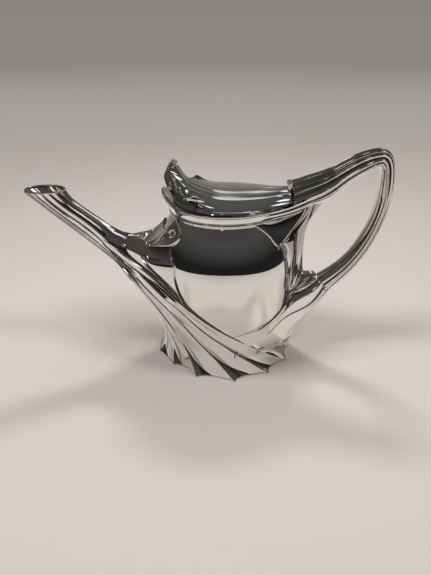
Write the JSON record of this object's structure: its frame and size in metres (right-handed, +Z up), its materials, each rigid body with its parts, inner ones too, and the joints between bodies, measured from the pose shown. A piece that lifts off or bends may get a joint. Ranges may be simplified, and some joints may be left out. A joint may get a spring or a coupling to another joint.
{
  "type": "teapot",
  "caption": "Silver teapot with a round belly, a fluted spout whose ribs fan round a scalloped foot, a looped fluted handle and a hinged saddle lid with a thumb piece.",
  "frame": {"origin": "middle of the scalloped foot, on the surface that the teapot stands on, under the pot's upright axis", "axes": "+Z up, +X towards the handle, -X towards the spout, Y across the pot"},
  "size_m": [0.299, 0.1178, 0.181],
  "materials": {
    "silver": "mirror-polished silver plate",
    "lip_silver": "polished silver plate with a faint warm tint",
    "inner_silver": "satin silver plate, dulled by use",
    "hinge_silver": "polished silver plate with dark joints"
  },
  "bodies": {
    "pot": {"vessel_body": "silver", "vessel_base": "inner_silver", "strainer": "inner_silver", "foot_skirt": "silver", "spout_fan": "silver", "spout_tube": "silver", "spout_lip": "lip_silver", "spout_horn": "silver", "spout_lobe_near": "silver", "spout_lobe_far": "silver", "collar": "silver", "handle_loop": "silver", "handle_root": "silver", "handle_pins": "hinge_silver", "handle_web": "silver", "hinge_knuckle_near": "hinge_silver", "hinge_knuckle_far": "hinge_silver", "hinge_pin": "hinge_silver"},
    "lid": {"lid_shell": "silver", "lid_finial": "silver", "lid_bezel": "inner_silver", "hinge_knuckle_lid": "hinge_silver"}
  },
  "joints": [
    {"name": "lid_hinge", "type": "hinge", "parent": "pot", "child": "lid", "pos_m": [0.053, 0, 0.1516], "axis": [0, 1, 0], "range_deg": [0, 100]}
  ]
}
